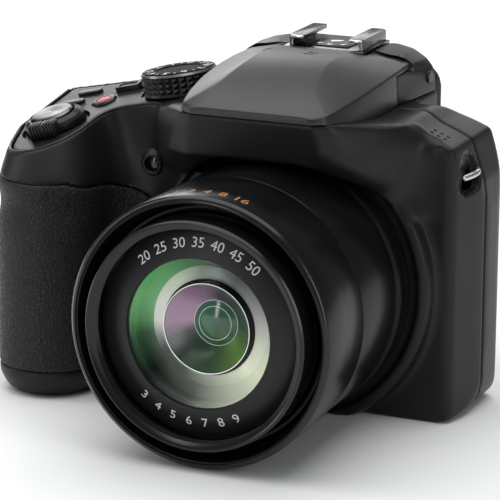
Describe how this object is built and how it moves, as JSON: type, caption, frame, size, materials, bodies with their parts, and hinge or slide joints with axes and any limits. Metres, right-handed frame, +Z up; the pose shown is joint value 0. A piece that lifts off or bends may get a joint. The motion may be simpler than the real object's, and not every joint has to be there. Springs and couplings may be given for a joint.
{
  "type": "bridge camera",
  "caption": "Black bridge camera with a fixed telescoping zoom lens, deep hand grip, pop-up flash, hot shoe, electronic viewfinder, rear screen and working controls.",
  "frame": {"origin": "mouth of the tripod socket, on the plane of the base", "axes": "+Z up, the lens looks along -Y, and the hand grip is on the -X side"},
  "size_m": [0.1302, 0.1195, 0.0944],
  "materials": {
    "shell": "fine-grained moulded black",
    "flash_shell": "fine-grained moulded charcoal",
    "rubber": "leather-grained black",
    "barrel": "satin black",
    "control": "satin black",
    "shutter_metal": "spun, dark grey",
    "shoe_metal": "dark plated",
    "steel": "satin",
    "frame_metal": "plain sheet",
    "optical_glass": "coated",
    "clear_cover": "ribbed clear plastic",
    "inner_plastic": "plain",
    "board": "solder-masked",
    "lamp": "dark red window",
    "screen": "glossy black"
  },
  "bodies": {
    "body": {"front_cover": "shell", "rear_cover": "shell", "top_cover": "shell", "hump_cover": "shell", "base_plate": "shell", "grip_rubber": "rubber", "thumb_rest": "rubber", "eyecup": "rubber", "lens_barrel": "barrel", "hot_shoe": "shoe_metal", "strap_lugs": "steel", "body_screws": "steel", "tripod_bush": "steel", "flash_pins": "steel", "door_pins": "steel", "terminal_sockets": "steel", "zoom_motor": "steel", "chassis": "frame_metal", "eyepiece_lens": "optical_glass", "shoe_contacts": "inner_plastic", "viewfinder_display": "inner_plastic", "image_sensor": "inner_plastic", "battery": "inner_plastic", "memory_card": "inner_plastic", "flash_capacitor": "inner_plastic", "speaker": "inner_plastic", "main_board": "board", "assist_lamp": "lamp", "rear_screen": "screen"},
    "middle_tube": {"middle_tube": "barrel"},
    "front_tube": {"front_tube": "barrel", "name_ring": "barrel", "front_lens": "optical_glass"},
    "zoom_group": {"zoom_lens": "optical_glass", "iris_unit": "barrel"},
    "focus_group": {"focus_lens": "optical_glass"},
    "flash": {"flash_cover": "flash_shell", "flash_window": "clear_cover", "flash_lamp": "frame_metal"},
    "battery_door": {"battery_door": "shell"},
    "door_latch": {"door_latch": "control"},
    "terminal_door": {"terminal_door": "shell"},
    "zoom_lever": {"zoom_lever": "control"},
    "mode_dial": {"mode_dial": "control"},
    "power_switch": {"power_switch": "control"},
    "rear_dial": {"rear_dial": "control"},
    "diopter_dial": {"diopter_dial": "control"},
    "shutter": {"shutter_button": "shutter_metal"},
    "record": {"record_button": "control"},
    "burst": {"burst_button": "control"},
    "focus": {"focus_button": "control"},
    "pad": {"cursor_pad": "control"},
    "set": {"set_button": "control"},
    "play": {"play_button": "control"},
    "menu": {"menu_button": "control"},
    "display": {"display_button": "control"},
    "view": {"view_button": "control"},
    "lock": {"lock_button": "control"},
    "flash_release": {"flash_release": "control"}
  },
  "joints": [
    {"name": "middle_slide", "type": "slide", "parent": "body", "child": "middle_tube", "axis": [0, -1, 0], "range_m": [0, 0.027]},
    {"name": "front_slide", "type": "slide", "parent": "middle_tube", "child": "front_tube", "axis": [0, -1, 0], "range_m": [0, 0.027]},
    {"name": "zoom_group_slide", "type": "slide", "parent": "body", "child": "zoom_group", "axis": [0, -1, 0], "range_m": [0, 0.0135]},
    {"name": "focus_slide", "type": "slide", "parent": "body", "child": "focus_group", "axis": [0, -1, 0], "range_m": [-0.003, 0.004]},
    {"name": "flash_hinge", "type": "hinge", "parent": "body", "child": "flash", "pos_m": [0.0164, 0.0152, 0.0884], "axis": [-1, 0, 0], "range_deg": [0, 40]},
    {"name": "battery_door_hinge", "type": "hinge", "parent": "body", "child": "battery_door", "pos_m": [-0.0336, -0.0035, 0.00125], "axis": [0, -1, 0], "range_deg": [0, 95]},
    {"name": "latch_slide", "type": "slide", "parent": "battery_door", "child": "door_latch", "axis": [1, 0, 0], "range_m": [0, 0.0025]},
    {"name": "terminal_hinge", "type": "hinge", "parent": "body", "child": "terminal_door", "pos_m": [-0.064, 0.0129, 0.038], "axis": [0, 0, -1], "range_deg": [0, 100]},
    {"name": "zoom_lever_turn", "type": "hinge", "parent": "body", "child": "zoom_lever", "pos_m": [-0.051, -0.013, 0.0693], "axis": [-0.2366, -0.2079, 0.9491], "range_deg": [-20, 20], "stiffness_Nm_per_rad": 0.02},
    {"name": "mode_dial_turn", "type": "hinge", "parent": "body", "child": "mode_dial", "pos_m": [-0.0206, 0.001, 0.0783], "axis": [-0.1564, 0, 0.9877], "continuous": true},
    {"name": "power_slide", "type": "slide", "parent": "body", "child": "power_switch", "axis": [0.9703, 0, 0.2419], "range_m": [0, 0.003]},
    {"name": "rear_dial_turn", "type": "hinge", "parent": "body", "child": "rear_dial", "pos_m": [-0.047, 0.0149, 0.0655], "axis": [0, 0, 1], "continuous": true},
    {"name": "diopter_turn", "type": "hinge", "parent": "body", "child": "diopter_dial", "pos_m": [0.0412, 0.025, 0.07], "axis": [1, 0, 0], "range_deg": [-120, 120]},
    {"name": "shutter_press", "type": "slide", "parent": "body", "child": "shutter", "axis": [0.2366, 0.2079, -0.9491], "range_m": [0, 0.0012], "stiffness_N_per_m": 400},
    {"name": "record_press", "type": "slide", "parent": "body", "child": "record", "axis": [0.2366, 0.2079, -0.9491], "range_m": [0, 0.0006], "stiffness_N_per_m": 400},
    {"name": "burst_press", "type": "slide", "parent": "body", "child": "burst", "axis": [0.2366, 0.2079, -0.9491], "range_m": [0, 0.0006], "stiffness_N_per_m": 400},
    {"name": "focus_press", "type": "slide", "parent": "body", "child": "focus", "axis": [0.2366, 0.2079, -0.9491], "range_m": [0, 0.0006], "stiffness_N_per_m": 400},
    {"name": "pad_press", "type": "slide", "parent": "body", "child": "pad", "axis": [0, -1, 0], "range_m": [0, 0.0006], "stiffness_N_per_m": 400},
    {"name": "set_press", "type": "slide", "parent": "body", "child": "set", "axis": [0, -1, 0], "range_m": [0, 0.0006], "stiffness_N_per_m": 400},
    {"name": "play_press", "type": "slide", "parent": "body", "child": "play", "axis": [0, -1, 0], "range_m": [0, 0.0006], "stiffness_N_per_m": 400},
    {"name": "menu_press", "type": "slide", "parent": "body", "child": "menu", "axis": [0, -1, 0], "range_m": [0, 0.0006], "stiffness_N_per_m": 400},
    {"name": "display_press", "type": "slide", "parent": "body", "child": "display", "axis": [0, -1, 0], "range_m": [0, 0.0006], "stiffness_N_per_m": 400},
    {"name": "view_press", "type": "slide", "parent": "body", "child": "view", "axis": [0, -1, 0], "range_m": [0, 0.0006], "stiffness_N_per_m": 400},
    {"name": "lock_press", "type": "slide", "parent": "body", "child": "lock", "axis": [0, -1, 0], "range_m": [0, 0.0006], "stiffness_N_per_m": 400},
    {"name": "flash_release_press", "type": "slide", "parent": "body", "child": "flash_release", "axis": [-1, 0, 0], "range_m": [0, 0.0008], "stiffness_N_per_m": 400}
  ],
  "couplings": [
    {"joint": "front_slide", "follows": "middle_slide", "ratio": 1},
    {"joint": "zoom_group_slide", "follows": "middle_slide", "ratio": 0.5}
  ]
}
